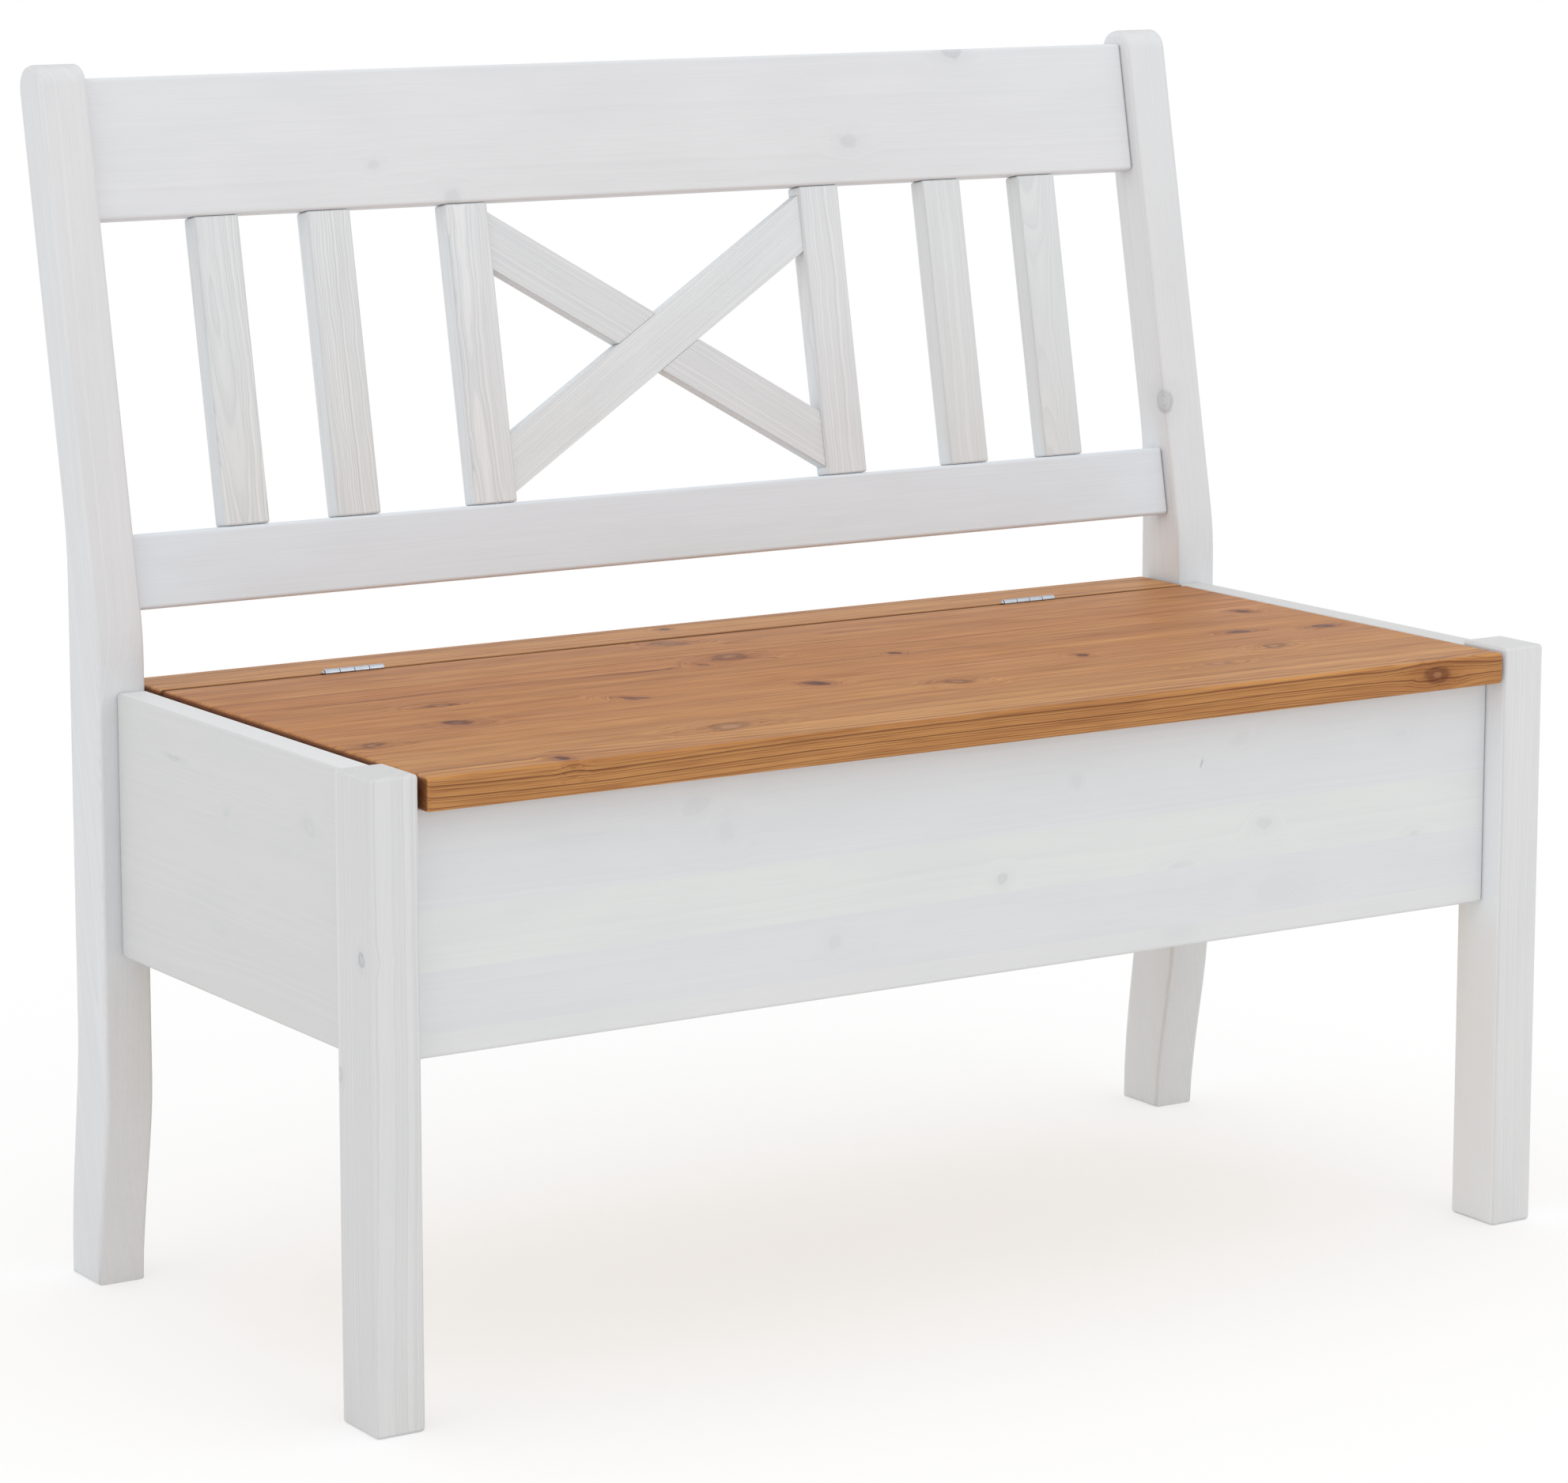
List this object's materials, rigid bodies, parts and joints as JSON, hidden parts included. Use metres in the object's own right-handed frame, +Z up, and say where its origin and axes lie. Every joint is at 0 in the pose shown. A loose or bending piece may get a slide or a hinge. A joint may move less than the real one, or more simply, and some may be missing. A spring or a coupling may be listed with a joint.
{
  "type": "settle bench",
  "caption": "Settle bench with a storage box under its hinged seat lid, square front legs, curved back posts and a leaning slatted backrest with a crossed brace.",
  "frame": {"origin": "on the floor, under the middle of the bench's bounding box", "axes": "+X along the seat, to the right as seen by someone facing the bench; +Y from the front edge towards the backrest; +Z up"},
  "size_m": [1.018, 0.532, 0.9028],
  "materials": {
    "painted_pine": "white glazed pine, satin, faint grain",
    "raw_pine": "planed bare pine",
    "oiled_pine": "honey stained pine, satin",
    "zinc_steel": "zinc plated"
  },
  "bodies": {
    "bench_frame": {"front_leg_left": "painted_pine", "front_leg_right": "painted_pine", "back_post_left": "painted_pine", "back_post_right": "painted_pine", "side_panel_left": "painted_pine", "side_panel_right": "painted_pine", "front_panel": "painted_pine", "back_panel": "painted_pine", "crest_rail": "painted_pine", "lower_back_rail": "painted_pine", "back_slat_1": "painted_pine", "back_slat_2": "painted_pine", "back_slat_3": "painted_pine", "back_slat_4": "painted_pine", "back_upright_left": "painted_pine", "back_upright_right": "painted_pine", "cross_brace_front": "painted_pine", "cross_brace_rear": "painted_pine", "bottom_board": "raw_pine", "ledger_front": "raw_pine", "ledger_back": "raw_pine", "ledger_left": "raw_pine", "ledger_right": "raw_pine", "corner_batten_front_left": "raw_pine", "corner_batten_front_right": "raw_pine", "corner_batten_back_left": "raw_pine", "corner_batten_back_right": "raw_pine", "panel_dowel_front_left_1": "raw_pine", "panel_dowel_front_left_2": "raw_pine", "panel_dowel_front_right_1": "raw_pine", "panel_dowel_front_right_2": "raw_pine", "panel_dowel_back_left_1": "raw_pine", "panel_dowel_back_left_2": "raw_pine", "panel_dowel_back_right_1": "raw_pine", "panel_dowel_back_right_2": "raw_pine", "seat_back_strip": "oiled_pine", "hinge_left_fixed_leaf": "zinc_steel", "hinge_left_pin": "zinc_steel", "hinge_right_fixed_leaf": "zinc_steel", "hinge_right_pin": "zinc_steel", "hinge_screw_left_fixed_a": "zinc_steel", "hinge_screw_left_fixed_b": "zinc_steel", "hinge_screw_right_fixed_a": "zinc_steel", "hinge_screw_right_fixed_b": "zinc_steel"},
    "lid": {"seat_lid": "oiled_pine", "lid_cleat_left": "raw_pine", "lid_cleat_right": "raw_pine", "hinge_left_moving_leaf": "zinc_steel", "hinge_right_moving_leaf": "zinc_steel", "hinge_screw_left_moving_a": "zinc_steel", "hinge_screw_left_moving_b": "zinc_steel", "hinge_screw_right_moving_a": "zinc_steel", "hinge_screw_right_moving_b": "zinc_steel", "cleat_screw_left_front": "zinc_steel", "cleat_screw_left_back": "zinc_steel", "cleat_screw_right_front": "zinc_steel", "cleat_screw_right_back": "zinc_steel"}
  },
  "joints": [
    {"name": "lid_hinge", "type": "hinge", "parent": "bench_frame", "child": "lid", "pos_m": [0, 0.13565, 0.453], "axis": [-1, 0, 0], "range_deg": [0, 103]}
  ]
}
